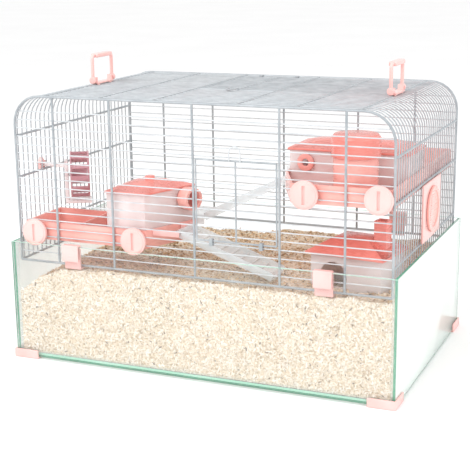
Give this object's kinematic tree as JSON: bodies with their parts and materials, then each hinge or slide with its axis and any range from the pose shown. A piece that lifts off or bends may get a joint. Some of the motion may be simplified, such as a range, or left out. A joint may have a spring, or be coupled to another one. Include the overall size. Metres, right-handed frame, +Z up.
{
  "type": "hamster cage",
  "caption": "Small-animal cage: glass tank with shavings under a lift-off wire top, with pink shelves, houses, a wheel, clear ramps, doors and fold-down carry handles.",
  "frame": {"origin": "centre of the footprint, on the surface that the four feet stand on", "axes": "+X along the tank to the right as seen from its door side, +Y to the back, +Z up"},
  "size_m": [0.586, 0.3816, 0.437],
  "materials": {
    "glass": "clear float glass with green cut edges",
    "sealant": "clear sealant",
    "pale_pink": "pale pink moulded plastic",
    "salmon": "salmon pink moulded plastic",
    "rose": "rose pink moulded plastic",
    "blush": "see-through pale pink plastic",
    "clear_plastic": "clear plastic",
    "mauve": "see-through mauve plastic",
    "wire": "light grey coated wire",
    "shavings": "loose wood shavings"
  },
  "bodies": {
    "tank": {"glass_front": "glass", "glass_back": "glass", "glass_left": "glass", "glass_right": "glass", "glass_base": "glass", "silicone_seam": "sealant", "corner_foot_front_left": "pale_pink", "corner_foot_front_right": "pale_pink", "corner_foot_back_left": "pale_pink", "corner_foot_back_right": "pale_pink", "wood_shavings": "shavings"},
    "wire_top": {"front_mesh": "wire", "back_mesh": "wire", "roof_mesh": "wire", "left_shoulder_mesh": "wire", "right_shoulder_mesh": "wire", "left_end_mesh": "wire", "right_end_mesh": "wire", "rim_clip_front_left": "pale_pink", "rim_clip_front_right": "pale_pink", "rim_clip_back_left": "pale_pink", "rim_clip_back_right": "pale_pink", "front_door_hinge_1": "wire", "front_door_hinge_2": "wire", "roof_door_hinge_1": "wire", "roof_door_hinge_2": "wire", "handle_bracket_left": "pale_pink", "handle_bracket_right": "pale_pink", "left_tray": "salmon", "right_tray": "salmon", "tray_plug": "pale_pink", "left_house_walls": "blush", "left_house_port": "salmon", "right_house_walls": "blush", "right_house_port": "salmon", "pot_body": "salmon", "wheel_axle": "clear_plastic", "wheel_stand": "blush", "ramp_bracket": "pale_pink", "bridge": "clear_plastic", "port_plate": "pale_pink"},
    "front_door": {"front_door": "wire"},
    "front_door_latch": {"front_door_latch": "wire"},
    "roof_door": {"roof_door": "wire"},
    "roof_door_latch": {"roof_door_latch": "wire"},
    "carry_handle_left": {"carry_handle_left": "pale_pink"},
    "carry_handle_right": {"carry_handle_right": "pale_pink"},
    "wheel": {"wheel_drum": "mauve"},
    "star_nut": {"star_nut": "pale_pink"},
    "knob_left_1": {"knob_left_1": "pale_pink"},
    "knob_left_2": {"knob_left_2": "pale_pink"},
    "knob_right_1": {"knob_right_1": "pale_pink"},
    "knob_right_2": {"knob_right_2": "pale_pink"},
    "left_house_roof": {"left_house_roof": "rose"},
    "right_house_roof": {"right_house_roof": "rose"},
    "pot_lid": {"pot_lid": "rose"},
    "port_cap": {"port_cap": "salmon"},
    "down_ramp": {"down_ramp": "clear_plastic"},
    "hide": {"hide_walls": "blush", "hide_roof": "rose"}
  },
  "joints": [
    {"name": "wire_top_lift", "type": "slide", "parent": "tank", "child": "wire_top", "axis": [0, 0, 1], "range_m": [0, 0.3]},
    {"name": "front_door_hinge", "type": "hinge", "parent": "wire_top", "child": "front_door", "pos_m": [0.0625, -0.17475, 0.2027], "axis": [1, 0, 0], "range_deg": [0, 110]},
    {"name": "front_door_latch_turn", "type": "hinge", "parent": "front_door", "child": "front_door_latch", "pos_m": [0.0625, -0.1777, 0.3157], "axis": [1, 0, 0], "range_deg": [0, 90]},
    {"name": "roof_door_hinge", "type": "hinge", "parent": "wire_top", "child": "roof_door", "pos_m": [0, 0.1528, 0.38925], "axis": [-1, 0, 0], "range_deg": [0, 110]},
    {"name": "roof_door_latch_turn", "type": "hinge", "parent": "roof_door", "child": "roof_door_latch", "pos_m": [-0.004, -0.0207, 0.3923], "axis": [-1, 0, 0], "range_deg": [0, 90]},
    {"name": "carry_handle_left_fold", "type": "hinge", "parent": "wire_top", "child": "carry_handle_left", "pos_m": [-0.233, 0, 0.397], "axis": [0, 1, 0], "range_deg": [0, 85]},
    {"name": "carry_handle_right_fold", "type": "hinge", "parent": "wire_top", "child": "carry_handle_right", "pos_m": [0.233, 0, 0.397], "axis": [0, -1, 0], "range_deg": [0, 85]},
    {"name": "wheel_spin", "type": "hinge", "parent": "wire_top", "child": "wheel", "pos_m": [-0.228, -0.088, 0.263], "axis": [0.866, 0.5, 0], "continuous": true},
    {"name": "star_nut_turn", "type": "hinge", "parent": "wire_top", "child": "star_nut", "pos_m": [-0.2858, -0.10285, 0.278], "axis": [1, 0, 0], "continuous": true},
    {"name": "knob_left_1_turn", "type": "hinge", "parent": "wire_top", "child": "knob_left_1", "pos_m": [-0.25375, -0.18, 0.19215], "axis": [0, 1, 0], "continuous": true},
    {"name": "knob_left_2_turn", "type": "hinge", "parent": "wire_top", "child": "knob_left_2", "pos_m": [-0.09251, -0.18, 0.19215], "axis": [0, 1, 0], "continuous": true},
    {"name": "knob_right_1_turn", "type": "hinge", "parent": "wire_top", "child": "knob_right_1", "pos_m": [0.16066, -0.18, 0.27685], "axis": [0, 1, 0], "continuous": true},
    {"name": "knob_right_2_turn", "type": "hinge", "parent": "wire_top", "child": "knob_right_2", "pos_m": [0.26158, -0.18, 0.27685], "axis": [0, 1, 0], "continuous": true},
    {"name": "left_house_roof_lift", "type": "slide", "parent": "wire_top", "child": "left_house_roof", "axis": [0, 0, 1], "range_m": [0, 0.1]},
    {"name": "right_house_roof_lift", "type": "slide", "parent": "wire_top", "child": "right_house_roof", "axis": [0, 0, 1], "range_m": [0, 0.035]},
    {"name": "pot_lid_lift", "type": "slide", "parent": "wire_top", "child": "pot_lid", "axis": [0, 0, 1], "range_m": [0, 0.033]},
    {"name": "port_cap_pull", "type": "slide", "parent": "wire_top", "child": "port_cap", "axis": [1, 0, 0], "range_m": [0, 0.05]},
    {"name": "down_ramp_hinge", "type": "hinge", "parent": "wire_top", "child": "down_ramp", "pos_m": [-0.034, -0.135, 0.203], "axis": [0, -1, 0], "range_deg": [0, 15]},
    {"name": "hide_lift", "type": "slide", "parent": "tank", "child": "hide", "axis": [0, 0, 1], "range_m": [0, 0.03]}
  ]
}
